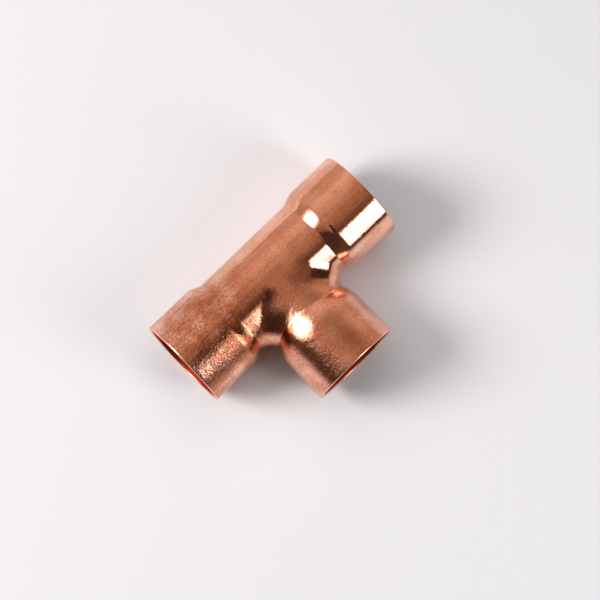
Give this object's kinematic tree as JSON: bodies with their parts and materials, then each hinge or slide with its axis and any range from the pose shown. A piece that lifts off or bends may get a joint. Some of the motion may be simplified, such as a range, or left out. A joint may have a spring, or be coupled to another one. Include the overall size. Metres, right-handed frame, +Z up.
{
  "type": "copper solder tee fitting",
  "caption": "Equal tee for soldering three copper tubes: a straight run with a cup at each end and a branch cup square to it.",
  "frame": {"origin": "on the surface the fitting lies on, under the middle of its outline", "axes": "+X along the run, out of cup A; +Y along the branch, out of its mouth; +Z up, square to the plane of the two tube axes. The run's axis is at y -6.275 mm, z 8.75 mm and the branch's axis at x 0, z 8.75 mm"},
  "size_m": [0.044, 0.03, 0.0175],
  "materials": {
    "bright_copper": "bright drawn copper, satin to glossy, with fine drawing streaks along the tube and a dull inside"
  },
  "bodies": {
    "root": {"copper_tee_body": "bright_copper"}
  },
  "joints": []
}
